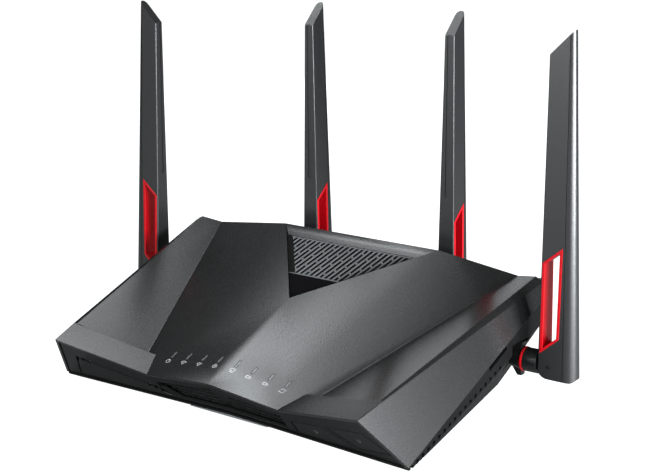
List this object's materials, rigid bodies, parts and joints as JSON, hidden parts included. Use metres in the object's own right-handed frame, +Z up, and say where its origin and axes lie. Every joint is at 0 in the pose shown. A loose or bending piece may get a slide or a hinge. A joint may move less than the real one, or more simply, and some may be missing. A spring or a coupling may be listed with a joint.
{
  "type": "wireless router",
  "caption": "Desktop wireless router with a faceted wedge case, a V-shaped top vent, a front port flap, push buttons and folding, swivelling blade antennas.",
  "frame": {"origin": "on the table, under the middle of the router's overall box with its antennas upright", "axes": "+Z up, front face towards -Y, +X to the right seen from behind the viewer at the front"},
  "size_m": [0.3814, 0.2357, 0.2552],
  "materials": {
    "case_charcoal": "fine moulded satin texture",
    "frame_black": "matt black moulding",
    "vent_grey": "satin grey slats",
    "badge_gloss": "polished piano black",
    "lens_white": "translucent light pipe",
    "antenna_body": "satin moulded plastic",
    "antenna_joint": "matt black moulding",
    "red_trim": "satin red trim",
    "board_green": "solder-masked circuit board",
    "chip_black": "moulded chip packages",
    "shield_tin": "tinned steel",
    "sink_alloy": "plain extruded aluminium",
    "screw_steel": "zinc-plated steel",
    "jack_black": "moulded jack body",
    "jack_blue": "moulded jack body",
    "usb_steel": "nickel-plated steel shell",
    "button_dark": "satin moulded button",
    "brass_gold": "gold-plated brass",
    "rubber_grey": "soft rubber",
    "lead_black": "coaxial lead sheath"
  },
  "bodies": {
    "case": {"top_cover": "case_charcoal", "bottom_shell": "case_charcoal", "vent_mesh": "vent_grey", "badge_panel": "badge_gloss", "status_light_lenses": "lens_white", "light_guide": "lens_white", "front_frame": "frame_black", "front_grille": "vent_grey", "flap_hinge_pin": "screw_steel", "port_bezel": "frame_black", "front_usb_port": "usb_steel", "button_board": "board_green", "button_switches": "chip_black", "main_board": "board_green", "processor_chips": "chip_black", "rf_shields": "shield_tin", "processor_heatsink": "sink_alloy", "radio_heatsink_left": "sink_alloy", "radio_heatsink_right": "sink_alloy", "board_screws": "screw_steel", "case_screws": "screw_steel", "rubber_feet": "rubber_grey", "rear_panel": "case_charcoal", "lan_jacks": "jack_black", "wan_jack": "jack_blue", "rear_usb_port": "usb_steel", "power_jack": "jack_black", "rear_switches": "chip_black", "antenna_leads": "lead_black", "antenna_connectors": "brass_gold"},
    "usb_flap": {"usb_flap": "button_dark"},
    "wifi_button": {"wifi_button": "button_dark"},
    "led_button": {"led_button": "button_dark"},
    "power_button": {"power_button": "button_dark"},
    "wps_button": {"wps_button": "button_dark"},
    "reset_button": {"reset_button": "button_dark"},
    "antenna_left_nut": {"antenna_left_nut": "antenna_joint"},
    "antenna_left_barrel": {"antenna_left_ring": "red_trim", "antenna_left_barrel": "antenna_joint"},
    "antenna_left_blade": {"antenna_left_blade": "antenna_body", "antenna_left_bezel": "red_trim", "antenna_left_pin": "screw_steel"},
    "antenna_back_left_nut": {"antenna_back_left_nut": "antenna_joint"},
    "antenna_back_left_barrel": {"antenna_back_left_ring": "red_trim", "antenna_back_left_barrel": "antenna_joint"},
    "antenna_back_left_blade": {"antenna_back_left_blade": "antenna_body", "antenna_back_left_bezel": "red_trim", "antenna_back_left_pin": "screw_steel"},
    "antenna_back_right_nut": {"antenna_back_right_nut": "antenna_joint"},
    "antenna_back_right_barrel": {"antenna_back_right_ring": "red_trim", "antenna_back_right_barrel": "antenna_joint"},
    "antenna_back_right_blade": {"antenna_back_right_blade": "antenna_body", "antenna_back_right_bezel": "red_trim", "antenna_back_right_pin": "screw_steel"},
    "antenna_right_nut": {"antenna_right_nut": "antenna_joint"},
    "antenna_right_barrel": {"antenna_right_ring": "red_trim", "antenna_right_barrel": "antenna_joint"},
    "antenna_right_blade": {"antenna_right_blade": "antenna_body", "antenna_right_bezel": "red_trim", "antenna_right_pin": "screw_steel"}
  },
  "joints": [
    {"name": "usb_flap_hinge", "type": "hinge", "parent": "case", "child": "usb_flap", "pos_m": [-0.08534, -0.09581, 0.01871], "axis": [-0.9648, -0.1892, 0.1826], "range_deg": [0, 90]},
    {"name": "wifi_button_press", "type": "slide", "parent": "case", "child": "wifi_button", "axis": [0.036, 0.783, 0.6209], "range_m": [0, 0.0008], "stiffness_N_per_m": 400},
    {"name": "led_button_press", "type": "slide", "parent": "case", "child": "led_button", "axis": [0.036, 0.783, 0.6209], "range_m": [0, 0.0008], "stiffness_N_per_m": 400},
    {"name": "power_button_press", "type": "slide", "parent": "case", "child": "power_button", "axis": [0, -1, 0], "range_m": [0, 0.0012], "stiffness_N_per_m": 400},
    {"name": "wps_button_press", "type": "slide", "parent": "case", "child": "wps_button", "axis": [0, -1, 0], "range_m": [0, 0.0008], "stiffness_N_per_m": 400},
    {"name": "reset_button_press", "type": "slide", "parent": "case", "child": "reset_button", "axis": [0, -1, 0], "range_m": [0, 0.0008], "stiffness_N_per_m": 300},
    {"name": "antenna_left_nut_spin", "type": "hinge", "parent": "case", "child": "antenna_left_nut", "pos_m": [-0.141, 0.039, 0.038], "axis": [-1, 0, 0], "continuous": true},
    {"name": "antenna_left_swivel", "type": "hinge", "parent": "case", "child": "antenna_left_barrel", "pos_m": [-0.141, 0.039, 0.038], "axis": [-1, 0, 0], "range_deg": [-90, 90]},
    {"name": "antenna_left_tilt", "type": "hinge", "parent": "antenna_left_barrel", "child": "antenna_left_blade", "pos_m": [-0.172, 0.039, 0.038], "axis": [0, -1, 0], "range_deg": [0, 90]},
    {"name": "antenna_back_left_nut_spin", "type": "hinge", "parent": "case", "child": "antenna_back_left_nut", "pos_m": [-0.06, 0.068, 0.038], "axis": [0, 1, 0], "continuous": true},
    {"name": "antenna_back_left_swivel", "type": "hinge", "parent": "case", "child": "antenna_back_left_barrel", "pos_m": [-0.06, 0.068, 0.038], "axis": [0, 1, 0], "range_deg": [-90, 12]},
    {"name": "antenna_back_left_tilt", "type": "hinge", "parent": "antenna_back_left_barrel", "child": "antenna_back_left_blade", "pos_m": [-0.06, 0.099, 0.038], "axis": [-1, 0, 0], "range_deg": [0, 90]},
    {"name": "antenna_back_right_nut_spin", "type": "hinge", "parent": "case", "child": "antenna_back_right_nut", "pos_m": [0.06, 0.068, 0.038], "axis": [0, 1, 0], "continuous": true},
    {"name": "antenna_back_right_swivel", "type": "hinge", "parent": "case", "child": "antenna_back_right_barrel", "pos_m": [0.06, 0.068, 0.038], "axis": [0, 1, 0], "range_deg": [-12, 90]},
    {"name": "antenna_back_right_tilt", "type": "hinge", "parent": "antenna_back_right_barrel", "child": "antenna_back_right_blade", "pos_m": [0.06, 0.099, 0.038], "axis": [-1, 0, 0], "range_deg": [0, 90]},
    {"name": "antenna_right_nut_spin", "type": "hinge", "parent": "case", "child": "antenna_right_nut", "pos_m": [0.141, 0.039, 0.038], "axis": [1, 0, 0], "continuous": true},
    {"name": "antenna_right_swivel", "type": "hinge", "parent": "case", "child": "antenna_right_barrel", "pos_m": [0.141, 0.039, 0.038], "axis": [1, 0, 0], "range_deg": [-90, 90]},
    {"name": "antenna_right_tilt", "type": "hinge", "parent": "antenna_right_barrel", "child": "antenna_right_blade", "pos_m": [0.172, 0.039, 0.038], "axis": [0, 1, 0], "range_deg": [0, 90]}
  ]
}
